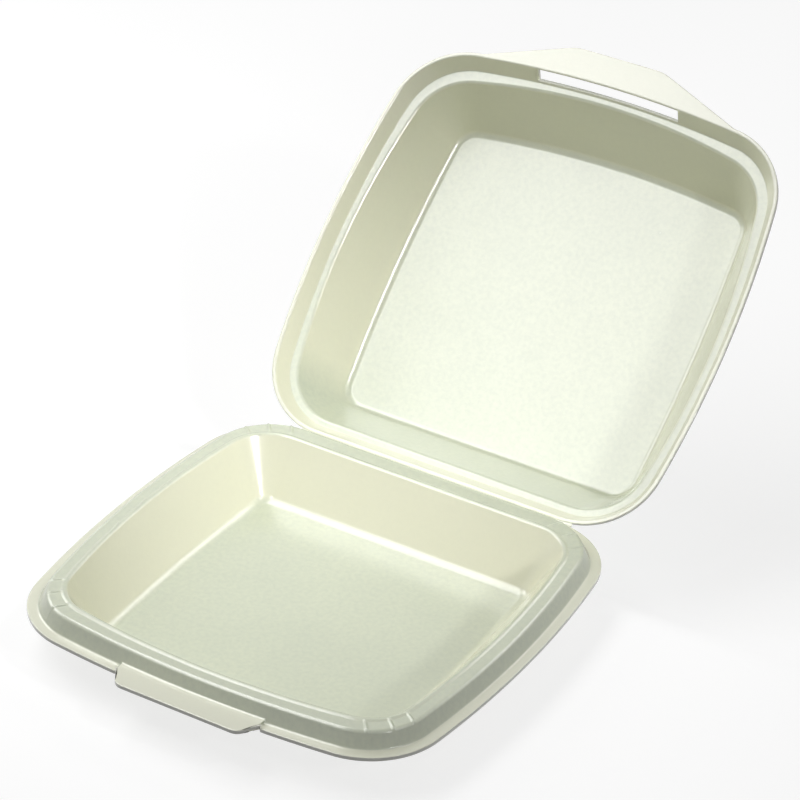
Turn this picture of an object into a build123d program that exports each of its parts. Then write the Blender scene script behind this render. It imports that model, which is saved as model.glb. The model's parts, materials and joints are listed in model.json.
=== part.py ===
"""Hinged foam meal box, drawn open: a shallow base tray and a deep lid formed from one foam sheet.

Millimetres. X runs along the hinge, Y to the back, Z up. The origin is the middle of the
tray's plan, on the face that it stands on.
"""

import os
from math import cos, hypot, radians, sin

from build123d import *

# Sheet: foamed plastic, pressed hot between two mould faces
sheet = 2.2

# Plan of the trimmed flange: the back is straight, the sides and the front are bowed
box_width = 240.0
box_depth = 231.8
corner_radius = 42.0
rim_side_bow = 10.6
rim_front_bow = 8.9

# Tray, from the trimmed edge inwards: flange, skirt up to the rim, ledge, wall, floor
tray_height = 31.5
flange_width = 5.0
skirt_run = 4.0
skirt_height = 8.0
ledge_width = 8.7
rear_ledge_extra = 3.0
tray_wall_run = 21.5
tray_mouth_side_bow = 9.0
tray_mouth_front_bow = 10.3
tray_floor_side_bow = 1.6
tray_floor_front_bow = 6.0
tray_floor_corner = 6.0
rim_round = 2.6
flange_round = 1.5
floor_round = 7.0

# Lid, from the trimmed edge inwards: narrow flange, skirt, ledge, wall, top panel
lid_depth = 43.0
lid_ledge_width = 3.5
lid_wall_run = 19.6
lid_mouth_side_bow = 12.0
lid_mouth_front_bow = 13.2
lid_panel_side_bow = 3.0
lid_panel_front_bow = 6.5
lid_edge_round = 1.2
lid_ledge_round = 2.2
lid_panel_round = 5.0

# How the closed lid sits over the tray
closing_gap = 0.3
seat_gap = 0.3
skirt_play_low = 3.1
skirt_play_high = 2.4
rest_opening = 137.7

# Pressed crease that the lid folds on
crease_radius = 0.8
crease_clearance = 0.2
crease_length = 162.0
crease_thickness = 1.2
fold_gap = 0.4

# Locking tab, a step up in the tray's front flange, and the slot and thumb lip on the lid's front
tab_root = 81.0
tab_tip = 74.0
tab_reach = 8.5
tab_rise = 1.5
tab_round = 6.0
slot_side_clearance = 1.5
slot_width = 3.2
lip_reach = 14.6
lip_edge = 52.0
lip_root = 176.0
lip_root_setback = 9.0
lip_round = 8.0

# Short pressed ribs across the tray's ledge at each corner, which the closed lid seats on
rib_height = 0.6
rib_sink = 0.3
rib_length = 8.0
rib_shares = (0.2, 0.5, 0.8)
rib_fan = 0.35
corner_count = 4

# Levels and lines that follow from the sizes above
half_gap = closing_gap / 2
hinge_y = box_depth / 2
flange_z = tray_height - skirt_height
hinge_z = flange_z + half_gap
skirt_foot = flange_width
skirt_head = skirt_foot + skirt_run
tray_mouth = skirt_head + ledge_width
tray_floor = tray_mouth + tray_wall_run
lid_skirt_height = skirt_height + rib_height + seat_gap - closing_gap
lid_skirt_foot = skirt_foot - skirt_play_low
lid_skirt_head = skirt_head - skirt_play_high
lid_mouth = lid_skirt_head + lid_ledge_width
lid_panel = lid_mouth + lid_wall_run
lid_face = -half_gap
lid_ledge_level = lid_face - lid_skirt_height
lid_panel_level = lid_face - lid_depth
tab_top = flange_z + tab_rise
slot_length = tab_root + 2 * slot_side_clearance
rim_bow = (rim_side_bow, rim_front_bow)
tray_mouth_bow = (tray_mouth_side_bow, tray_mouth_front_bow)
tray_floor_bow = (tray_floor_side_bow, tray_floor_front_bow)
lid_mouth_bow = (lid_mouth_side_bow, lid_mouth_front_bow)
lid_panel_bow = (lid_panel_side_bow, lid_panel_front_bow)

# Each half is drawn from the hinge line forwards, in a frame of its own with its hollow side up
turn = radians(rest_opening)
tray_frame = Plane(origin=(0, hinge_y, 0), x_dir=(-1, 0, 0), z_dir=(0, 0, 1))
lid_frame = Plane(origin=(0, hinge_y, hinge_z), x_dir=(1, 0, 0), z_dir=(0, -sin(turn), -cos(turn)))


def ring(frame, level, inset, bow, rear=0.0, corner=None):
    """Draw one closed outline, inset from the trimmed edge, at a level of a half's frame."""
    side_bow, front_bow = bow
    half = box_width / 2 - inset
    back = fold_gap + inset + rear
    front = box_depth - inset
    corner_x = half - side_bow
    corner_y = front - front_bow
    with BuildSketch(frame.offset(level)) as outline:
        with BuildLine():
            Line((-corner_x, back), (corner_x, back))
            ThreePointArc((corner_x, back), (half, (back + front) / 2), (corner_x, corner_y))
            ThreePointArc((corner_x, corner_y), (0, front), (-corner_x, corner_y))
            ThreePointArc((-corner_x, corner_y), (-half, (back + front) / 2), (-corner_x, back))
        make_face()
        fillet(outline.vertices(), corner or corner_radius - inset)
    return outline.sketch


def underside_shift(run, rise):
    """Sideways step from a sloping wall's upper face to its underside, at bends one sheet lower."""
    return sheet * (hypot(run, rise) - run) / rise


def face_at(part, frame, level):
    """The flat face of a part that lies at a level of a half's frame."""
    flats = part.faces().filter_by(GeomType.PLANE).filter_by(Axis(frame.origin, frame.z_dir))
    return min(flats, key=lambda flat: abs(frame.to_local_coords(flat.center()).Z - level))


# Space under the tray's sheet: the rim's hollow and all that lies outside the pan
tray_skirt_shift = underside_shift(skirt_run, skirt_height)
tray_wall_shift = underside_shift(tray_wall_run, tray_height - sheet)
tray_pan_foot = ring(
    tray_frame, 0, tray_floor - tray_wall_shift, tray_floor_bow, 0, tray_floor_corner + tray_wall_shift
)
tray_pan_head = ring(
    tray_frame, tray_height - sheet, tray_mouth - tray_wall_shift, tray_mouth_bow, rear_ledge_extra
)
with BuildPart() as tray_pan:
    loft([tray_pan_foot, tray_pan_head], ruled=True)
    fillet(face_at(tray_pan, tray_frame, 0).edges(), floor_round + sheet)

# Locking tab's plan: a tapered tongue with rounded tip corners, from the skirt out past the flange
with BuildSketch(tray_frame) as tab_plan:
    with BuildLine():
        Polyline(
            (-tab_root / 2, box_depth - skirt_head),
            (tab_root / 2, box_depth - skirt_head),
            (tab_tip / 2, box_depth + tab_reach),
            (-tab_tip / 2, box_depth + tab_reach),
            close=True,
        )
    make_face()
    fillet(tab_plan.vertices().group_by(Axis.Y)[-1], tab_round)

with BuildPart() as tray_below:
    extrude(ring(tray_frame, 0, -sheet, rim_bow), amount=flange_z - sheet)
    extrude(tab_plan.sketch, amount=tab_top - sheet)
    loft(
        [
            ring(tray_frame, flange_z - sheet, skirt_foot + tray_skirt_shift, rim_bow),
            ring(tray_frame, tray_height - sheet, skirt_head + tray_skirt_shift, rim_bow),
        ],
        ruled=True,
    )
    add(tray_pan.part, mode=Mode.SUBTRACT)

# One rib: a slender spindle that fades out at both ends, sunk into the ledge
with BuildPart() as rib:
    with BuildSketch(Plane.XZ):
        with BuildLine():
            ThreePointArc((-rib_length / 2, 0), (0, rib_height + rib_sink), (rib_length / 2, 0))
            Line((rib_length / 2, 0), (-rib_length / 2, 0))
        make_face()
    revolve(axis=Axis.X)

# Ribs stand along the ledge's corner arcs, fanned a little about each corner's diagonal
ledge_line = ring(tray_frame, tray_height - rib_sink, (skirt_head + tray_mouth) / 2, rim_bow)
rib_places = []
for arc in ledge_line.edges().filter_by(GeomType.CIRCLE).sort_by(SortBy.RADIUS)[:corner_count]:
    diagonal = (arc.center(CenterOf.MASS) - arc.arc_center).normalized()
    for share in rib_shares:
        outward = (arc @ share - arc.arc_center).normalized()
        across = diagonal * (1 - rib_fan) + outward * rib_fan
        rib_places.append(Plane(origin=arc @ share, x_dir=across, z_dir=(0, 0, 1)).location)

# Tray: the sheet's upper face, with the space under it taken away
tray_hollow_foot = ring(tray_frame, sheet, tray_floor, tray_floor_bow, 0, tray_floor_corner)
tray_hollow_head = ring(tray_frame, tray_height, tray_mouth, tray_mouth_bow, rear_ledge_extra)
with BuildPart() as base_tray:
    extrude(ring(tray_frame, 0, 0, rim_bow), amount=flange_z)
    loft(
        [
            ring(tray_frame, flange_z, skirt_foot, rim_bow),
            ring(tray_frame, tray_height, skirt_head, rim_bow),
        ],
        ruled=True,
    )
    loft([tray_hollow_foot, tray_hollow_head], ruled=True, mode=Mode.SUBTRACT)
    fillet(face_at(base_tray, tray_frame, tray_height).edges(), rim_round)
    fillet(face_at(base_tray, tray_frame, sheet).edges(), floor_round)
    fillet(face_at(base_tray, tray_frame, flange_z).inner_wires()[0].edges(), flange_round)
    extrude(tab_plan.sketch, amount=tab_top)
    add(tray_below.part, mode=Mode.SUBTRACT)
    with Locations(*rib_places):
        add(rib.part)
    # Crease: a thin web from the rear flange to a rounded bead on the fold line
    with BuildSketch(Plane.YZ):
        with Locations((hinge_y, hinge_z)):
            Circle(crease_radius)
        with Locations((hinge_y, flange_z)):
            Rectangle(flange_width / 2, crease_thickness, align=(Align.MAX, Align.MAX))
    extrude(amount=crease_length / 2, both=True)

# Lid's outer form: skirt, ledge, wall and top panel, one sheet outside its hollow
lid_skirt_shift = underside_shift(lid_skirt_head - lid_skirt_foot, lid_skirt_height)
lid_wall_shift = underside_shift(lid_wall_run, lid_depth - lid_skirt_height)
with BuildPart() as lid:
    loft(
        [
            ring(lid_frame, lid_face - sheet, lid_skirt_foot - lid_skirt_shift, rim_bow),
            ring(lid_frame, lid_ledge_level - sheet, lid_skirt_head - lid_skirt_shift, rim_bow),
        ],
        ruled=True,
    )
    loft(
        [
            ring(lid_frame, lid_ledge_level - sheet, lid_mouth - lid_wall_shift, lid_mouth_bow),
            ring(lid_frame, lid_panel_level - sheet, lid_panel - lid_wall_shift, lid_panel_bow),
        ],
        ruled=True,
    )
    fillet(face_at(lid, lid_frame, lid_panel_level - sheet).edges(), lid_panel_round + sheet)
    # Flange, widened at the front into the thumb lip
    extrude(ring(lid_frame, lid_face, 0, rim_bow), amount=-sheet)
    with BuildSketch(lid_frame.offset(lid_face)) as lip_plan:
        with BuildLine():
            Polyline(
                (-lip_root / 2, box_depth - lip_root_setback),
                (-lip_edge / 2, box_depth + lip_reach),
                (lip_edge / 2, box_depth + lip_reach),
                (lip_root / 2, box_depth - lip_root_setback),
                close=True,
            )
        make_face()
        fillet(lip_plan.vertices().filter_by_position(Axis.X, -lip_edge, lip_edge), lip_round)
    extrude(amount=-sheet)
    # Hollow: the skirt that nests over the tray's rim, then the deep pan
    loft(
        [
            ring(lid_frame, lid_face, lid_skirt_foot, rim_bow),
            ring(lid_frame, lid_ledge_level, lid_skirt_head, rim_bow),
        ],
        ruled=True,
        mode=Mode.SUBTRACT,
    )
    loft(
        [
            ring(lid_frame, lid_ledge_level, lid_mouth, lid_mouth_bow),
            ring(lid_frame, lid_panel_level, lid_panel, lid_panel_bow),
        ],
        ruled=True,
        mode=Mode.SUBTRACT,
    )
    fillet(face_at(lid, lid_frame, lid_panel_level).edges(), lid_panel_round)
    fillet(face_at(lid, lid_frame, lid_ledge_level).inner_wires()[0].edges(), lid_ledge_round)
    fillet(face_at(lid, lid_frame, lid_face).inner_wires()[0].edges(), lid_edge_round)
    # Groove that rolls round the tray's crease
    with BuildSketch(Plane.YZ):
        with Locations((hinge_y, hinge_z)):
            Circle(crease_radius + crease_clearance)
    extrude(amount=box_width / 2, both=True, mode=Mode.SUBTRACT)

# Slot punched through the lid's front skirt beside the flange, clear of the flange's outer face
with BuildPart() as slot_punch:
    extrude(ring(lid_frame, lid_face, lid_skirt_foot, rim_bow), amount=-sheet)
    extrude(ring(lid_frame, lid_face - sheet, 0, rim_bow), amount=-lid_skirt_height)
    extrude(
        ring(lid_frame, lid_face, lid_skirt_foot + slot_width, rim_bow),
        amount=-lid_skirt_height - sheet,
        mode=Mode.SUBTRACT,
    )
    with BuildSketch(lid_frame.offset(lid_face)):
        with Locations((0, box_depth)):
            Rectangle(slot_length, box_depth)
    extrude(amount=-lid_skirt_height - sheet, mode=Mode.INTERSECT)

with lid:
    add(slot_punch.part, mode=Mode.SUBTRACT)

os.makedirs("parts", exist_ok=True)
for node, piece in (("base_tray", base_tray), ("lid", lid)):
    piece.part.label = node
    export_step(piece.part, f"parts/{node}.step")
    print(node, round(piece.part.volume), piece.part.bounding_box(), len(piece.part.solids()))
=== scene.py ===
# %% [markdown]
# # A hinged foam meal box, standing open
# The real box is one sheet of foamed plastic, pressed hot between two mould faces, trimmed, and folded along a crease.
# It has two halves, a shallow tray and a deep lid, and both are the same kind of form: a row of closed rings that runs
# from the trimmed edge over a skirt and a ledge and down a sloping wall to a flat middle. So this lesson draws rings
# and pulls one out of the other, which keeps the mesh in clean strips of four-sided faces.

import json
from collections import namedtuple
from math import atan2, cos, hypot, pi, radians, sin, sqrt, tan

import bmesh
import bpy
from mathutils import Matrix, Vector, noise


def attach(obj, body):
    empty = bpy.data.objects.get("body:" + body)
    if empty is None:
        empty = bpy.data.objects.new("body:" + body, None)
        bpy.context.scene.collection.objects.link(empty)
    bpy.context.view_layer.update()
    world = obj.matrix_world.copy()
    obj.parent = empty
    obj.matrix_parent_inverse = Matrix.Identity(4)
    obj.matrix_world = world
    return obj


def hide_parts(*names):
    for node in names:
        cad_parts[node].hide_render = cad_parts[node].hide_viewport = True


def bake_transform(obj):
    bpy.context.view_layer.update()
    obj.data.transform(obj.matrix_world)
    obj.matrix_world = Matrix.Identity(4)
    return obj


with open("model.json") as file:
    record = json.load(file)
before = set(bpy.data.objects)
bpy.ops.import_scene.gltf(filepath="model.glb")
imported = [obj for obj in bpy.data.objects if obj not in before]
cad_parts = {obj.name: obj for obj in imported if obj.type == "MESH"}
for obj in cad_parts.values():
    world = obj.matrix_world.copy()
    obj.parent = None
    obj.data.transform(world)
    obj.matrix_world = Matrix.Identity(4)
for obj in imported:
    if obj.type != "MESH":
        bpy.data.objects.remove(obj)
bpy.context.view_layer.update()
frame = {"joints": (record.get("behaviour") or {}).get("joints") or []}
hinge = frame["joints"][0]
hinge_point = Vector(hinge["pos_m"])

# %% [markdown]
# ## Sizes
# Every size is in metres and is the same as in the solids, because the visual model has to fit them exactly. An inset
# is a distance in from the trimmed edge. A level is a height above the tray's underside, or, for the lid, a height
# above the fold line with the lid lying on its back.

# %% Sizes of the sheet, the plan and both halves
mm = 0.001
sheet = 2.2 * mm
box_width = 240.0 * mm
box_depth = 231.8 * mm
opening = radians(137.7)
corner_radius = 42.0 * mm
fold_gap = 0.4 * mm
rim_bow = (10.6 * mm, 8.9 * mm)
tray_mouth_bow = (9.0 * mm, 10.3 * mm)
tray_floor_bow = (1.6 * mm, 6.0 * mm)
lid_mouth_bow = (12.0 * mm, 13.2 * mm)
lid_panel_bow = (3.0 * mm, 6.5 * mm)

tray_height = 31.5 * mm
flange_level = 23.5 * mm
skirt_foot = 5.0 * mm
skirt_head = 9.0 * mm
tray_mouth = 17.7 * mm
rear_ledge_extra = 3.0 * mm
tray_floor = 39.2 * mm
tray_floor_corner = 6.0 * mm

lid_face = -0.15 * mm
lid_ledge_level = -8.75 * mm
lid_panel_level = -43.15 * mm
lid_skirt_foot = 1.9 * mm
lid_skirt_head = 6.6 * mm
lid_mouth = 10.1 * mm
lid_panel = 29.7 * mm

tab_rise = 1.5 * mm
tab_root = 81.0 * mm
tab_tip = 74.0 * mm
tab_reach = 8.5 * mm
tab_round = 6.0 * mm
slot_length = 84.0 * mm
slot_width = 3.2 * mm
lip_reach = 14.6 * mm
lip_edge = 52.0 * mm
lip_root = 176.0 * mm
lip_root_setback = 9.0 * mm
lip_softness = 2.5 * mm
print("closed plan", box_width, "by", box_depth, "sheet", sheet)

# %% [markdown]
# ## One ring
# Seen from above, every ring is straight at the back and bowed at the sides and the front, with rounded corners. The
# arcs come from circle geometry, so two rings always have the same number of points in the same order, and point
# number 100 of one ring lies opposite point number 100 of the next. Only then do the strips between them run straight.

# %% The arcs of a ring and its points
Ring = namedtuple("Ring", "inset level bow rear corner bend lip", defaults=(rim_bow, 0.0, None, 0.0, False))
back_steps, side_steps, front_steps, notch_steps = 14, 40, 16, 22
tray_corner_steps, lid_corner_steps = 110, 56
notch_step = 0.7 * mm


def arcs_of(ring):
    """The circles of a ring's right half: rear corner, side, front corner and front, with the angles they span."""
    side_bow, front_bow = ring.bow
    half = box_width / 2 - ring.inset
    back = fold_gap + ring.inset + ring.rear
    front = box_depth - ring.inset
    edge_x = half - side_bow
    edge_y = front - front_bow
    reach = (edge_y - back) / 2
    side = Vector(((half + edge_x - (reach ** 2 - front_bow ** 2 / 4) / side_bow) / 2, (edge_y + back) / 2))
    side_radius = hypot(edge_x - side.x, reach)
    front_radius = (front_bow ** 2 + edge_x ** 2) / (2 * front_bow)
    middle = Vector((0, front - front_radius))
    corner = ring.corner or corner_radius - ring.inset
    rear_y = back + corner
    rear = Vector((side.x + sqrt((side_radius - corner) ** 2 - (rear_y - side.y) ** 2), rear_y))
    between = middle - side
    far, near = side_radius - corner, front_radius - corner
    along = (far ** 2 - near ** 2 + between.length_squared) / (2 * between.length)
    across = sqrt(far ** 2 - along ** 2)
    way = between.normalized()
    nose = side + way * along + Vector((-way.y, way.x)) * across
    low = atan2(rear.y - side.y, rear.x - side.x)
    high = atan2(nose.y - side.y, nose.x - side.x)
    turn = atan2(nose.y - middle.y, nose.x - middle.x)
    return [
        (rear, corner, -pi / 2, low),
        (side, side_radius, low, high),
        (nose, corner, high, turn),
        (middle, front_radius, turn, pi / 2),
    ]


def on_circle(centre, radius, angle):
    return centre + Vector((cos(angle), sin(angle))) * radius


def lip_line(x):
    """How far out the thumb lip's edge lies at a place along the front."""
    slope = (lip_reach + lip_root_setback) / ((lip_root - lip_edge) / 2)
    past = abs(x) - lip_edge / 2
    return box_depth + lip_reach - slope * (past + hypot(past, lip_softness)) / 2


def near_lip(point):
    return point.y > box_depth / 2 and point.x < lip_root / 2


def points_of(ring, notch, corner_steps):
    """The ring's points in order, from the back's middle round the right side and home on the left."""
    rear, side, nose, front = arcs_of(ring)
    back = on_circle(rear[0], rear[1], rear[2])
    half = [Vector((back.x * n / back_steps, back.y)) for n in range(back_steps)]
    for (centre, radius, start, end), steps in ((rear, corner_steps), (side, side_steps), (nose, corner_steps)):
        half += [on_circle(centre, radius, start + (end - start) * n / steps) for n in range(steps)]
    middle, radius, start, _ = front
    first_x = radius * cos(start)
    across = [first_x + (notch + notch_step - first_x) * n / front_steps for n in range(front_steps + 1)]
    across += [notch * cos(pi / 2 * n / notch_steps) for n in range(notch_steps)] + [0.0]
    half += [Vector((x, middle.y + sqrt(radius ** 2 - x ** 2))) for x in across]
    if ring.lip:
        half = [Vector((p.x, max(p.y, lip_line(p.x)))) if near_lip(p) else p for p in half]
    loop = half + [Vector((-p.x, p.y)) for p in half[-2:0:-1]]
    return [Vector((p.x, p.y, ring.level)) for p in loop]


edge_points = points_of(Ring(0.0, flange_level), tab_root / 2, tray_corner_steps)
print("tray ring:", len(edge_points), "points, widest", round(2 * max(p.x for p in edge_points), 4))

# %% [markdown]
# ## From rings to a sheet
# A half starts as a circle that is moved onto its trimmed edge. Each next ring is an extrusion of the last one, moved
# to its own outline. The upper face goes first, down to the middle, and the underside follows from the same edge, so
# the result is a closed shell that is one sheet thick. Then a bevel along each ring turns the sharp fold into a bend,
# which is what hot foam does over a mould. A bevel's width is the bend's radius times the tangent of half the turn.

# %% Extruding, closing and bending
broad_bend, broad_segments, tight_segments = 2.0 * mm, 7, 4
middle_shares = (0.93, 0.84, 0.74, 0.63, 0.51, 0.39, 0.27, 0.15, 0.05)


def pull_ring(bm, edges, places, row):
    """Extrude a closed row of edges and move the copy onto the next ring's places."""
    column, tag = bm.verts.layers.int["column"], bm.verts.layers.int["row"]
    made = bmesh.ops.extrude_edge_only(bm, edges=edges)["geom"]
    moved = {part for part in made if isinstance(part, bmesh.types.BMVert)}
    for vert in moved:
        vert.co = places[vert[column]]
        vert[tag] = row
    return [part for part in made if isinstance(part, bmesh.types.BMEdge) and moved.issuperset(part.verts)]


def close_middle(bm, edges, places, row):
    """Shrink copies of the last ring towards its middle and fill what is left."""
    centre = sum(places, Vector()) / len(places)
    for share in middle_shares:
        edges = pull_ring(bm, edges, [centre + (p - centre) * share for p in places], row)
    bmesh.ops.contextual_create(bm, geom=edges)


def turn_at(before, here, after):
    first = Vector((here.inset - before.inset, here.level - before.level))
    second = Vector((after.inset - here.inset, after.level - here.level))
    return first.angle(second)


def bend_row(bm, row, radius, turn):
    """Round the fold along one ring, in more steps where the bend is broad."""
    tag = bm.verts.layers.int["row"]
    segments = broad_segments if radius > broad_bend else tight_segments
    fold = [edge for edge in bm.edges if all(vert[tag] == row for vert in edge.verts)]
    made = bmesh.ops.bevel(
        bm, geom=fold, offset=radius * tan(turn / 2), offset_type="OFFSET", segments=segments,
        profile=0.5, affect="EDGES", material=-1, clamp_overlap=False,
    )
    for vert in made["verts"]:
        vert[tag] = row


def draw_half(upper, under, notch, corner_steps):
    """A closed sheet from its upper rings and its under rings, both listed from the trimmed edge inwards."""
    bm = bmesh.new()
    column = bm.verts.layers.int.new("column")
    bm.verts.layers.int.new("row")
    start = points_of(upper[0], notch, corner_steps)
    circle = bmesh.ops.create_circle(bm, segments=len(start), radius=box_width / 2)["verts"]
    for number, vert in enumerate(circle):
        vert[column] = number
        vert.co = start[number]
    trimmed = bm.edges[:]
    for rings, first_row in ((upper, 0), (under, len(upper) + 1)):
        edges = trimmed
        for row, ring in enumerate(rings, first_row):
            places = points_of(ring, notch, corner_steps)
            if row:
                edges = pull_ring(bm, edges, places, row)
        close_middle(bm, edges, places, row + 1)
    chain = list(reversed(under)) + list(upper)
    numbers = [len(upper) + 1 + n for n in reversed(range(len(under)))] + list(range(len(upper)))
    inner = Ring(box_width / 2, upper[-1].level)
    inner_under = Ring(box_width / 2, under[-1].level)
    for place, (ring, row) in enumerate(zip(chain, numbers)):
        before = chain[place - 1] if place else inner_under
        after = chain[place + 1] if place + 1 < len(chain) else inner
        if ring.bend:
            bend_row(bm, row, ring.bend, turn_at(before, ring, after))
    return bm


def under_rows(upper, under):
    """The row numbers that draw_half gives to the underside's rings."""
    return range(len(upper) + 1, len(upper) + 1 + len(under))


def split_band(bm, rows, cuts):
    """Cut the strips between two rings into shorter faces."""
    tag = bm.verts.layers.int["row"]
    runs = [edge for edge in bm.edges if {vert[tag] for vert in edge.verts} == set(rows)]
    bmesh.ops.subdivide_edges(bm, edges=runs, cuts=cuts, use_grid_fill=True)


def underside_step(run, rise):
    """Sideways step from a sloping wall's upper face to its underside, one sheet lower."""
    return sheet * (hypot(run, rise) - run) / rise


# %% [markdown]
# ## The tray's rings
# From the edge inwards: a flat flange, a skirt that rises to the rim, a ledge along the rim's top, a low bead where
# the ledge meets the wall, and the wall down to the floor. The floor has small corners and the rim large ones, which
# gives the wall its soft, flaring corners. The bead is only half a millimetre high, but its outer slope catches the
# light all round the mouth. The trimmed edge stays sharp for now, because the locking tab grows out of it first.

# %% Draw the tray
bead_height = 0.55 * mm
bead_foot = tray_mouth - 2.7 * mm
bead_top = tray_mouth - 1.6 * mm
mouth_level = tray_height + 0.35 * mm
tray_upper = [
    Ring(0.0, flange_level),
    Ring(skirt_foot, flange_level, bend=1.5 * mm),
    Ring(skirt_head, tray_height, bend=2.4 * mm),
    Ring(bead_foot, tray_height, tray_mouth_bow, rear_ledge_extra, bend=0.9 * mm),
    Ring(bead_top, tray_height + bead_height, tray_mouth_bow, rear_ledge_extra, bend=0.9 * mm),
    Ring(tray_mouth, mouth_level, tray_mouth_bow, rear_ledge_extra, bend=1.9 * mm),
    Ring(tray_floor, sheet, tray_floor_bow, 0.0, tray_floor_corner, bend=7.0 * mm),
]
skirt_step = underside_step(skirt_head - skirt_foot, tray_height - flange_level)
wall_step = underside_step(tray_floor - tray_mouth, tray_height - sheet)
tray_under = [
    Ring(0.0, flange_level - sheet),
    Ring(skirt_foot + skirt_step, flange_level - sheet, bend=1.0 * mm),
    Ring(skirt_head + skirt_step, tray_height - sheet, bend=0.8 * mm),
    Ring(tray_mouth - wall_step, tray_height - sheet, tray_mouth_bow, rear_ledge_extra, bend=0.8 * mm),
    Ring(tray_floor - wall_step, 0.0, tray_floor_bow, 0.0, tray_floor_corner + wall_step, bend=9.2 * mm),
]
edge_row, foot_row, rim_row, bead_foot_row, _, mouth_row, floor_row = range(len(tray_upper))
under_edge_row, under_foot_row, _, under_mouth_row, under_floor_row = under_rows(tray_upper, tray_under)
tray = draw_half(tray_upper, tray_under, tab_root / 2, tray_corner_steps)
print("tray sheet:", len(tray.verts), "points", len(tray.faces), "faces")

# %% [markdown]
# ## The locking tab
# On the real box the mould lifts the middle of the front flange by a small step, and the trimming knife leaves a
# tongue there, which bends up through a slot in the lid. So the points of the front are lifted first, and those on the
# skirt slide up its slope. Then the edge's faces are extruded in four stages, each further along the tongue's taper.
# The tip's corners are rounded by holding back the outermost points.

# %% Lift the front of the flange
lift_top = 29.0 * mm
column_slack = 0.01 * mm
skirt_lean = (skirt_head - skirt_foot) / (tray_height - flange_level)
column, tag = tray.verts.layers.int["column"], tray.verts.layers.int["row"]


def on_front(vert, reach):
    return vert.co.y > box_depth / 2 and abs(vert.co.x) < reach + column_slack


lifted = 0
for first_row, drop in ((edge_row, 0.0), (under_edge_row, sheet)):
    for vert in tray.verts:
        if first_row <= vert[tag] <= first_row + 2 and on_front(vert, tab_root / 2):
            share = min(1.0, max(0.0, (lift_top - drop - vert.co.z) / (lift_top - flange_level)))
            vert.co += Vector((0, -skirt_lean, 1)) * tab_rise * share
            lifted += share > 0
print("points lifted for the tab:", lifted)

# %% Draw the tab out of the edge
def front_faces(bm, rows, reach):
    """Faces of the front between two rings, no further from the middle than reach."""
    tag = bm.verts.layers.int["row"]
    return [
        face for face in bm.faces
        if {vert[tag] for vert in face.verts} == set(rows) and all(on_front(vert, reach) for vert in face.verts)
    ]


def tab_tip_line(x):
    past = max(0.0, abs(x) - (tab_tip / 2 - tab_round))
    return box_depth + tab_reach - tab_round + sqrt(max(0.0, tab_round ** 2 - past ** 2))


tab_stages = (0.3, 0.6, 0.85, 1.0)
tab_faces = front_faces(tray, (edge_row, under_edge_row), tab_root / 2)
roots = {(vert[column], vert[tag]): vert.co.copy() for face in tab_faces for vert in face.verts}
for share in tab_stages:
    made = bmesh.ops.extrude_face_region(tray, geom=tab_faces)["geom"]
    bmesh.ops.delete(tray, geom=tab_faces, context="FACES_ONLY")
    tab_faces = [part for part in made if isinstance(part, bmesh.types.BMFace)]
    for vert in {vert for face in tab_faces for vert in face.verts}:
        root = roots[vert[column], vert[tag]]
        tip = tab_tip_line(root.x * tab_tip / tab_root)
        vert.co.x = root.x * (1 + (tab_tip / tab_root - 1) * share)
        vert.co.y = root.y + (tip - root.y) * share
print("tab faces at the tip:", len(tab_faces))

# %% [markdown]
# ## The trimmed edge
# A steel rule cuts the pressed sheet out of the web, and the edge of cut foam is never quite sharp. A small bevel all
# round, the tab included, gives it a thin line of light. Only edges that turn sharply are meant, not the flat seams.

# %% Round the trimmed edge
trim_round = 0.5 * mm
trim_segments = 3
sharp_turn = radians(50)
tray.normal_update()
trimmed = [
    edge for edge in tray.edges
    if {vert[tag] for vert in edge.verts} in ({edge_row}, {under_edge_row}) and edge.calc_face_angle(0.0) > sharp_turn
]
rounded = bmesh.ops.bevel(
    tray, geom=trimmed, offset=trim_round, offset_type="OFFSET", segments=trim_segments,
    profile=0.5, affect="EDGES", material=-1,
)
for vert in rounded["verts"]:
    vert[tag] = edge_row
print("trimmed edges rounded:", len(trimmed), "open:", sum(not edge.is_manifold for edge in tray.edges))

# %% [markdown]
# ## Ribs on the ledge
# Three short ribs cross the ledge at each corner, from the bead to the top of the skirt. They are pressed into the
# sheet, so here they are raised from the mesh that is already there: the ledge is first cut into narrow strips, and
# the points near a rib are then lifted by a narrow crown that fades out at the rib's ends and sides.

# %% Raise the corner ribs
rib_height = 0.6 * mm
rib_length = 10.0 * mm
rib_width = 2.0 * mm
rib_fan = 0.35
rib_foot = tray_height - 2.0 * mm
ledge_cuts = 9
rear_shares, front_shares = (0.16, 0.44, 0.72), (0.1, 0.38, 0.7)
split_band(tray, (rim_row, bead_foot_row), ledge_cuts)
ledge_middle = Ring((skirt_head + bead_foot) / 2, tray_height)
ribs = []
for arc, shares in ((arcs_of(ledge_middle)[0], rear_shares), (arcs_of(ledge_middle)[2], front_shares)):
    centre, radius, start, end = arc
    diagonal = Vector((cos((start + end) / 2), sin((start + end) / 2)))
    for share in shares:
        place = on_circle(centre, radius, start + (end - start) * share)
        outward = (place - centre).normalized()
        ribs.append((place, (diagonal * (1 - rib_fan) + outward * rib_fan).normalized()))
for vert in tray.verts:
    for place, across in ribs:
        gap = Vector((abs(vert.co.x), vert.co.y)) - place
        if vert.co.z > rib_foot and gap.length < rib_length:
            along = 2 * gap.dot(across) / rib_length
            beside = 2 * gap.cross(across) / rib_width
            if abs(along) < 1 and abs(beside) < 1:
                crown = rib_height * (1 - along ** 4) * (1 - beside ** 2) ** 1.5
                vert.co.z += min(crown, max(0.0, tray_height + rib_height - vert.co.z))
print("ribs:", 2 * len(ribs))

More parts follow.
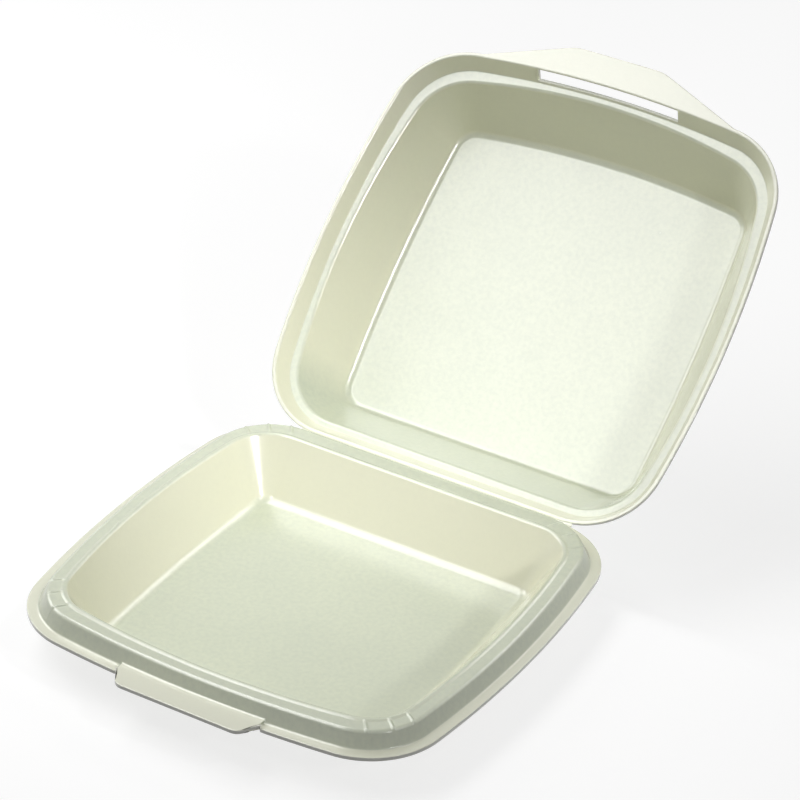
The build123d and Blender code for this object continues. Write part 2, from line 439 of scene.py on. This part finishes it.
# %% [markdown]
# ## The lid's rings
# The lid lies on its back while it is drawn, with the fold line at its back edge, and is turned open at the end. It
# has a narrower flange, a skirt that fits over the tray's rim, a narrow ledge and a deep pan. Its first ring is pushed
# out at the front into the thumb lip. One ring on each face of the skirt marks the far side of the slot.

# %% Draw the lid
slot_inset = lid_skirt_foot + slot_width
slot_draft = 0.1 * mm
slope = (lid_ledge_level - lid_face) / (lid_skirt_head - lid_skirt_foot)
lid_upper = [
    Ring(0.0, lid_face, bend=trim_round, lip=True),
    Ring(lid_skirt_foot, lid_face, bend=1.2 * mm),
    Ring(slot_inset, lid_face + (slot_inset - lid_skirt_foot) * slope),
    Ring(lid_skirt_head, lid_ledge_level, bend=0.7 * mm),
    Ring(lid_mouth, lid_ledge_level, lid_mouth_bow, bend=2.2 * mm),
    Ring(lid_panel, lid_panel_level, lid_panel_bow, bend=5.0 * mm),
]
lid_skirt_step = underside_step(lid_skirt_head - lid_skirt_foot, lid_face - lid_ledge_level)
lid_wall_step = underside_step(lid_panel - lid_mouth, lid_ledge_level - lid_panel_level)
outer_foot = lid_skirt_foot - lid_skirt_step
lid_under = [
    Ring(0.0, lid_face - sheet, bend=0.3 * mm, lip=True),
    Ring(outer_foot, lid_face - sheet),
    Ring(slot_inset - slot_draft, lid_face - sheet + (slot_inset - slot_draft - outer_foot) * slope),
    Ring(lid_skirt_head - lid_skirt_step, lid_ledge_level - sheet),
    Ring(lid_mouth - lid_wall_step, lid_ledge_level - sheet, lid_mouth_bow, bend=0.8 * mm),
    Ring(lid_panel - lid_wall_step, lid_panel_level - sheet, lid_panel_bow, bend=7.2 * mm),
]
lid_edge_row, lid_foot_row, lid_slot_row, _, lid_mouth_row, lid_panel_row = range(len(lid_upper))
lower_edge_row, lower_foot_row, lower_slot_row, lower_head_row, lower_mouth_row, lower_panel_row = under_rows(
    lid_upper, lid_under
)
lid = draw_half(lid_upper, lid_under, slot_length / 2, lid_corner_steps)
print("lid sheet:", len(lid.verts), "points", len(lid.faces), "faces")

# %% [markdown]
# ## The slot
# The slot is punched through the skirt beside the flange. In a mesh that is a hole in both faces of the sheet with a
# wall between them: the marked faces are deleted, and a bridge joins the two open loops.

# %% Punch the slot
punched = front_faces(lid, (lid_foot_row, lid_slot_row), slot_length / 2)
punched += front_faces(lid, (lower_foot_row, lower_slot_row), slot_length / 2)
bmesh.ops.delete(lid, geom=punched, context="FACES")
open_edges = [edge for edge in lid.edges if edge.is_boundary]
bmesh.ops.bridge_loops(lid, edges=open_edges)
left_open = sum(edge.is_boundary for edge in lid.edges)
print("slot faces:", len(punched), "open edges:", len(open_edges), "left open:", left_open)

# %% [markdown]
# ## Foam is never quite true
# A pressed foam sheet is a little uneven, which shows as a slight waver in its highlights. After the long walls are
# cut into shorter faces, every point moves along its normal by a tenth of a millimetre of smooth noise. Three values
# are kept on the points for the material: a share on steep faces, which is partly the sheet drawn thin on a wall and
# partly painted light, where its cut edge shows, and where the mould pressed it into a flat flange. The tray's skirt
# and the lid's wall beside the crease get no steep share, which is painted shade. The flange and the slot stay true,
# because the halves meet there.

# %% Finish both sheets
Rows = namedtuple("Rows", "walls trimmed flange true skirt")
waver = 0.12 * mm
waver_size = 28.0 * mm
wall_cuts = 9
stretch_and_painted_light_turn, upright, level = 0.4, 0.5, 0.8
# Where the painted shade on the lid's wall beside the crease ends, and how far it fades out.
hinge_wall_painted_shade_start, hinge_wall_painted_shade_fade = 26.0 * mm, 30.0 * mm


def finish_sheet(bm, name, rows, place):
    """Cut the walls, add the waver and the material's three values, and turn the sheet into its place."""
    for band in rows.walls:
        split_band(bm, band, wall_cuts)
    bmesh.ops.recalc_face_normals(bm, faces=bm.faces[:])
    bm.normal_update()
    tag = bm.verts.layers.int["row"]
    stretch_and_painted_light = bm.verts.layers.float.new("stretch_and_painted_light")
    cut = bm.verts.layers.float.new("cut")
    pressed = bm.verts.layers.float.new("pressed")
    for vert in bm.verts:
        flat = abs(vert.normal.z)
        # Steep faces get a share of the lighter, warmer wall colour: partly the thin drawn sheet, partly painted
        # light.
        drawn_and_painted_light = (1.0 - flat) / stretch_and_painted_light_turn
        # Painted shade: the lid's wall beside the crease loses the lighter wall share and stays darker.
        if vert.co.z < lid_ledge_level:
            drawn_and_painted_light *= min(1.0, (vert.co.y - hinge_wall_painted_shade_start) / hinge_wall_painted_shade_fade)
        # Painted shade: skirt rows get no wall share, so the tray's skirt stays darker than the walls.
        vert[stretch_and_painted_light] = 0.0 if vert[tag] in rows.skirt else min(1.0, max(0.0, drawn_and_painted_light))
        vert[cut] = 1.0 if vert[tag] in rows.trimmed and flat < upright else 0.0
        vert[pressed] = 1.0 if vert[tag] in rows.flange and flat > level else 0.0
        if vert[tag] not in rows.true:
            vert.co += vert.normal * waver * noise.noise(vert.co / waver_size)
    bmesh.ops.transform(bm, matrix=place, verts=bm.verts[:])
    mesh = bpy.data.meshes.new(name)
    bm.to_mesh(mesh)
    bm.free()
    mesh.shade_smooth()
    piece = bpy.data.objects.new(name, mesh)
    bpy.context.scene.collection.objects.link(piece)
    piece.modifiers.new("even_normals", "WEIGHTED_NORMAL")
    print(name, len(mesh.vertices), "points,", len(mesh.polygons), "faces")
    return piece


tray_place = Matrix.Translation((0, hinge_point.y, 0)) @ Matrix.Rotation(pi, 4, "Z")
lid_place = Matrix.Translation(hinge_point) @ Matrix.Rotation(pi - opening, 4, "X")
tray_flange = (edge_row, foot_row, under_edge_row, under_foot_row)
# The tray's skirt rows carry painted shade: they get no wall share.
tray_rows = Rows(
    walls=[(mouth_row, floor_row), (under_mouth_row, under_floor_row)],
    trimmed=(edge_row, under_edge_row), flange=tray_flange, true=tray_flange, skirt=(foot_row, rim_row),
)
lid_flange = (lid_edge_row, lid_foot_row, lower_edge_row, lower_foot_row)
lid_rows = Rows(
    walls=[(lid_mouth_row, lid_panel_row), (lower_mouth_row, lower_panel_row)],
    trimmed=(lid_edge_row, lower_edge_row), flange=lid_flange,
    true=(*lid_flange, lid_slot_row, lower_slot_row, lower_head_row), skirt=(),
)
tray_piece = finish_sheet(tray, "tray_sheet", tray_rows, tray_place)
lid_piece = finish_sheet(lid, "lid_sheet", lid_rows, lid_place)

# %% [markdown]
# ## The crease
# The two halves hang together by a thin web that is pressed along the fold. It starts as a narrow section at the
# tray's rear flange, is extruded to the fold line, spun round that line by the angle of the open lid, and extruded
# into the lid's flange.

# %% Spin the web round the fold line
web_top = 0.5 * mm
web_thickness = 0.8 * mm
web_half_length = 81.0 * mm
web_in_tray = 2.6 * mm
web_in_lid = 2.1 * mm
web_steps = 8
lid_way = lid_place.to_3x3() @ Vector((0, 1, 0))
web = bmesh.new()
corners = ((-1, 0.0), (1, 0.0), (1, web_thickness), (-1, web_thickness))
section = [
    web.verts.new(hinge_point + Vector((side * web_half_length, -web_in_tray, -web_top - depth)))
    for side, depth in corners
]
end_face = web.faces.new(section)


def extrude_end(bm, face, step):
    """Pull one face out by a step and return the face at the new end."""
    made = bmesh.ops.extrude_face_region(bm, geom=[face])["geom"]
    ends = [part for part in made if isinstance(part, bmesh.types.BMFace)]
    bmesh.ops.translate(bm, vec=step, verts=[part for part in made if isinstance(part, bmesh.types.BMVert)])
    return ends[0]


fold_face = extrude_end(web, end_face, Vector((0, web_in_tray, 0)))
spun = bmesh.ops.spin(
    web, geom=[fold_face, *fold_face.edges, *fold_face.verts], cent=hinge_point, axis=(1, 0, 0),
    angle=pi - opening, steps=web_steps, use_duplicate=False,
)["geom_last"]
lid_face_of_web = [part for part in spun if isinstance(part, bmesh.types.BMFace)][0]
extrude_end(web, lid_face_of_web, lid_way * web_in_lid)
inside = [face for face in web.faces if len(face.verts) == 4 and all(len(edge.link_faces) > 2 for edge in face.edges)]
bmesh.ops.delete(web, geom=inside, context="FACES_ONLY")
bmesh.ops.recalc_face_normals(web, faces=web.faces[:])
for name, value in (("stretch_and_painted_light", 0.0), ("cut", 0.0), ("pressed", 1.0)):
    layer = web.verts.layers.float.new(name)
    for vert in web.verts:
        vert[layer] = value
web_mesh = bpy.data.meshes.new("crease_web")
web.to_mesh(web_mesh)
print("crease web:", len(web.faces), "faces, open edges:", sum(not edge.is_manifold for edge in web.edges))
web.free()
web_piece = bpy.data.objects.new("crease_web", web_mesh)
bpy.context.scene.collection.objects.link(web_piece)

# %% [markdown]
# ## The foam's skin
# Foamed plastic has a satin skin over fine cells, so up close it is never one flat colour. One node group makes the
# pattern: fine cells, small blotches and broad clouds, all on Object coordinates, which keep their scale on every
# piece. The group puts out only values. The material turns them into colour, roughness and a slight bump.

# %% A node group for cells, blotches and clouds
def add_node(tree, kind, **settings):
    node = tree.nodes.new(kind)
    for name, value in settings.items():
        setattr(node, name, value)
    return node


def feed(tree, socket, source):
    """Link a source socket, or set a plain value."""
    if hasattr(source, "is_output"):
        tree.links.new(source, socket)
    else:
        socket.default_value = source


def work_out(tree, operation, first, second=0.0):
    node = add_node(tree, "ShaderNodeMath", operation=operation)
    feed(tree, node.inputs[0], first)
    feed(tree, node.inputs[1], second)
    return node.outputs[0]


skin = bpy.data.node_groups.new("foam_skin", "ShaderNodeTree")
skin.interface.new_socket("Place", in_out="INPUT", socket_type="NodeSocketVector")
for name, size in (("Cells", 900.0), ("Blotches", 400.0), ("Clouds", 22.0)):
    skin.interface.new_socket(name + " per Metre", in_out="INPUT", socket_type="NodeSocketFloat").default_value = size
    skin.interface.new_socket(name, in_out="OUTPUT", socket_type="NodeSocketFloat")
given = add_node(skin, "NodeGroupInput")
result = add_node(skin, "NodeGroupOutput")
cells = add_node(skin, "ShaderNodeTexVoronoi", feature="SMOOTH_F1")
feed(skin, cells.inputs["Vector"], given.outputs["Place"])
feed(skin, cells.inputs["Scale"], given.outputs["Cells per Metre"])
feed(skin, result.inputs["Cells"], cells.outputs["Distance"])
for name, detail in (("Blotches", 4.0), ("Clouds", 2.0)):
    pattern = add_node(skin, "ShaderNodeTexNoise")
    feed(skin, pattern.inputs["Vector"], given.outputs["Place"])
    feed(skin, pattern.inputs["Scale"], given.outputs[name + " per Metre"])
    feed(skin, pattern.inputs["Detail"], detail)
    feed(skin, result.inputs[name], pattern.outputs["Fac"])
print("skin group:", [item.name for item in skin.interface.items_tree])

# %% [markdown]
# ## The foam material
# Thick foam is a cool, greenish cream, and it shows its mottling. On steep walls it is warmer and lighter, partly
# because the sheet is drawn thin there and partly as painted light. Where it is pressed flat it is warmer and lighter
# too, and on both the mottling fades. The skin is satin: a fairly smooth base with a thin coat over it, and a
# roughness that follows the mottling, so that no highlight is quite even.

# %% The foam material
foam = bpy.data.materials.new("cream_foam")
foam.use_nodes = True
tree = foam.node_tree
shader = tree.nodes["Principled BSDF"]
pattern = add_node(tree, "ShaderNodeGroup", node_tree=skin)
feed(tree, pattern.inputs["Place"], add_node(tree, "ShaderNodeTexCoord").outputs["Object"])


def tint(tree, share, base, over):
    """Lay one colour over another by a share."""
    mix = add_node(tree, "ShaderNodeMix", data_type="RGBA")
    feed(tree, mix.inputs["Factor"], share)
    feed(tree, mix.inputs[6], base)
    feed(tree, mix.inputs[7], over)
    return mix.outputs[2]


def above(tree, value, start, gain):
    """How far a value lies above a start, times a gain, and never less than zero."""
    over = work_out(tree, "MULTIPLY", work_out(tree, "SUBTRACT", value, start), gain)
    return work_out(tree, "MAXIMUM", over, 0.0)


def mark(tree, name):
    return add_node(tree, "ShaderNodeAttribute", attribute_name=name).outputs["Fac"]


thick_foam = (0.62, 0.66, 0.50, 1.0)
shade_foam = (0.47, 0.52, 0.42, 1.0)
# Wall colour: partly the thinner drawn sheet, partly painted light that makes steep walls lighter and warmer.
drawn_foam_and_painted_light = (0.875, 0.86, 0.66, 1.0)
pressed_foam = (0.83, 0.83, 0.67, 1.0)
cut_foam = (0.74, 0.74, 0.66, 1.0)
blotch_start, blotch_gain = 0.35, 0.9
cloud_start, cloud_gain = 0.4, 0.5
cover = 0.75
least_rough, rough_spread = 0.15, 0.16
blotch_height = 1.2
colour = tint(tree, above(tree, pattern.outputs["Blotches"], blotch_start, blotch_gain), thick_foam, shade_foam)
colour = tint(tree, above(tree, pattern.outputs["Clouds"], cloud_start, cloud_gain), colour, shade_foam)
# Painted light in part: the steep-face share lays the lighter, warmer wall colour over the foam.
colour = tint(tree, work_out(tree, "MULTIPLY", mark(tree, "stretch_and_painted_light"), cover), colour, drawn_foam_and_painted_light)
colour = tint(tree, work_out(tree, "MULTIPLY", mark(tree, "pressed"), cover), colour, pressed_foam)
colour = tint(tree, mark(tree, "cut"), colour, cut_foam)
feed(tree, shader.inputs["Base Color"], colour)
uneven = work_out(tree, "MULTIPLY", pattern.outputs["Blotches"], rough_spread)
feed(tree, shader.inputs["Roughness"], work_out(tree, "ADD", uneven, least_rough))
shader.inputs["Specular IOR Level"].default_value = 1.0
shader.inputs["Coat Weight"].default_value = 0.6
shader.inputs["Coat Roughness"].default_value = 0.16
bump = add_node(tree, "ShaderNodeBump")
bump.inputs["Strength"].default_value = 0.16
bump.inputs["Distance"].default_value = 0.15 * mm
blotches = work_out(tree, "MULTIPLY", pattern.outputs["Blotches"], blotch_height)
height = work_out(tree, "ADD", pattern.outputs["Cells"], blotches)
feed(tree, bump.inputs["Height"], height)
feed(tree, shader.inputs["Normal"], bump.outputs["Normal"])
pieces = (tray_piece, lid_piece, web_piece)
for piece in pieces:
    piece.data.materials.append(foam)
print("foam on", [piece.name for piece in pieces])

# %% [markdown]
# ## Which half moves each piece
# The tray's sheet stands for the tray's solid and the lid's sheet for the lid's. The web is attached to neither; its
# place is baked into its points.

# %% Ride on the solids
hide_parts("base_tray")
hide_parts("lid")
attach(tray_piece, "tray_body")
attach(lid_piece, "lid_body")
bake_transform(web_piece)

# %% [markdown]
# ## Camera
# The camera stands in front and to the right, well above the box, with a long lens. Its angles, distance and lens come
# from a fit of the rim, the floor and the lid's lines, so that the box fills the picture in the same way.

# %% Set up the camera
azimuth, elevation, roll = radians(29.561), radians(32.007), radians(2.456)
view_distance = 1.785754
sensor_width, focal_pixels, picture_pixels = 36.0, 3585.115, 800
view_target = Vector((3.361, 70.995, 94.819)) * mm
back = Vector((sin(azimuth) * cos(elevation), -cos(azimuth) * cos(elevation), sin(elevation)))
camera = bpy.data.objects.new("camera", bpy.data.cameras.new("camera"))
camera.data.sensor_fit = "HORIZONTAL"
camera.data.sensor_width = sensor_width
camera.data.lens = sensor_width * focal_pixels / picture_pixels
stance = back.to_track_quat("Z", "Y").to_matrix() @ Matrix.Rotation(roll, 3, "Z")
camera.matrix_world = Matrix.Translation(view_target + back * view_distance) @ stance.to_4x4()
bpy.context.scene.collection.objects.link(camera)
bpy.context.scene.camera = camera
bpy.context.scene.view_settings.view_transform = "Standard"
print("camera", round(view_distance, 2), "m away, lens", round(camera.data.lens, 1), "mm")

# %% [markdown]
# ## Floor and background
# The box is shown on white paper. The paper is a plain matt surface that takes the box's soft shadow, and a little
# light of its own lifts it to white where it is seen directly or in a reflection. Behind the tray it sinks into a
# shallow hollow, because the lid is deeper than the tray and would hang below a level floor when it lies fully open.
# Camera rays and reflections see the world as white, while every other ray gets only a weak, even room light from it,
# so that the lamps do the modelling.

# %% White paper
def clear_rays(tree):
    """A value that is 1 for rays that see the background: from the camera, off gloss or through glass."""
    rays = add_node(tree, "ShaderNodeLightPath").outputs
    direct = work_out(tree, "MAXIMUM", rays["Is Camera Ray"], rays["Is Glossy Ray"])
    return work_out(tree, "MAXIMUM", direct, rays["Is Transmission Ray"])


paper_glow = 0.78
paper_level = -0.3 * mm
paper_grey = (0.3, 0.3, 0.3, 1)
hollow_depth = 23.5 * mm
hollow_side, hollow_start, hollow_end = (0.13, 0.34), (0.086, 0.14), (0.4, 1.2)
paper_reach = 4.0


def lines(start, end, steps):
    """Evenly spaced places from a start to an end."""
    return [start + (end - start) * n / steps for n in range(steps + 1)]


def ease(value, start, end):
    """Rise smoothly from 0 at the start to 1 at the end."""
    share = min(1.0, max(0.0, (value - start) / (end - start)))
    return 3 * share ** 2 - 2 * share ** 3


def paper_height(x, y):
    """Level paper with a hollow behind the tray, which is steep only along the hinge."""
    across = 1 - ease(abs(x), *hollow_side)
    along = ease(y, *hollow_start) * (1 - ease(y, *hollow_end))
    return paper_level - hollow_depth * across * along


x_lines = [-paper_reach, *lines(-0.4, 0.4, 40), paper_reach]
y_lines = [0.08, *lines(*hollow_start, 9), 0.25, *lines(*hollow_end, 8), paper_reach]
paper_roll = bmesh.new()
front = [paper_roll.verts.new((x, -paper_reach, 0)) for x in x_lines]
line = [paper_roll.edges.new(pair) for pair in zip(front, front[1:])]
for y in y_lines:
    made = bmesh.ops.extrude_edge_only(paper_roll, edges=line)["geom"]
    moved = {part for part in made if isinstance(part, bmesh.types.BMVert)}
    for vert in moved:
        vert.co.y = y
    line = [part for part in made if isinstance(part, bmesh.types.BMEdge) and moved.issuperset(part.verts)]
for vert in paper_roll.verts:
    vert.co.z = paper_height(vert.co.x, vert.co.y)
floor_data = bpy.data.meshes.new("floor")
paper_roll.to_mesh(floor_data)
paper_roll.free()
floor_data.shade_smooth()
floor = bpy.data.objects.new("floor", floor_data)
bpy.context.scene.collection.objects.link(floor)
paper = bpy.data.materials.new("white_paper")
paper.use_nodes = True
tree = paper.node_tree
tree.nodes.remove(tree.nodes["Principled BSDF"])
matt = add_node(tree, "ShaderNodeBsdfDiffuse")
matt.inputs["Color"].default_value = paper_grey
glow = add_node(tree, "ShaderNodeEmission")
feed(tree, glow.inputs["Strength"], work_out(tree, "MULTIPLY", clear_rays(tree), paper_glow))
both = add_node(tree, "ShaderNodeAddShader")
feed(tree, both.inputs[0], matt.outputs[0])
feed(tree, both.inputs[1], glow.outputs[0])
feed(tree, tree.nodes["Material Output"].inputs["Surface"], both.outputs[0])
floor.data.materials.append(paper)
print("paper", floor.dimensions[:])

# %% White world with a weak room light
room_light = 0.04
world = bpy.data.worlds.new("studio")
bpy.context.scene.world = world
world.use_nodes = True
tree = world.node_tree
backdrop = tree.nodes["Background"]
backdrop.inputs["Color"].default_value = (1, 1, 1, 1)
feed(tree, backdrop.inputs["Strength"], work_out(tree, "MAXIMUM", clear_rays(tree), room_light))
print("room light", room_light)

# %% [markdown]
# ## Light
# A long softbox hangs high on the left. From this camera it is mirrored in the lid's panel and in every bend of the
# tray that leans towards the front, which draws the bright lines along the rim and the bead. A smaller box stands
# lower on the left, and a strip at the back right draws the line along the right rim. Three weak lamps with grids,
# which narrow their beams, open up the shaded insides: one for the tray's back wall from the front, and one each for
# the left walls of the lid and the tray from the right.

# %% Softboxes
def softbox(name, place, aim, size, power, spread=180.0):
    """A lamp at a place, turned to shine at a point: its width and height, and a grid that narrows its beam."""
    lamp = bpy.data.lights.new(name, "AREA")
    lamp.shape = "RECTANGLE"
    lamp.size, lamp.size_y = size
    lamp.energy = power
    lamp.spread = radians(spread)
    holder = bpy.data.objects.new(name, lamp)
    away = Vector(place) - Vector(aim)
    facing = away.to_track_quat("Z", "Y").to_matrix().to_4x4()
    holder.matrix_world = Matrix.Translation(place) @ facing
    bpy.context.scene.collection.objects.link(holder)
    print(name, power, "W at", round(away.length, 2), "m")


softbox("high_left", (-0.55, -0.024, 1.207), (0.0, 0.08, 0.05), (1.5, 0.5), 9.4)
softbox("low_left", (-0.9, 0.05, 0.6), (0.0, 0.03, 0.0), (0.5, 0.5), 2.7)
softbox("back_right", (0.45, 1.03, 0.93), (0.1, 0.0, 0.03), (0.8, 0.3), 2.2)
softbox("tray_back", (-0.2, -0.75, 0.95), (0.0, 0.1, 0.02), (0.2, 0.2), 0.013, 10.0)
softbox("lid_wall", (0.9, -0.25, 0.75), (-0.1, 0.14, 0.05), (0.3, 0.3), 0.16, 16.0)
softbox("tray_wall", (0.55, 0.1, 0.9), (-0.09, 0.0, 0.015), (0.25, 0.25), 0.036, 10.0)
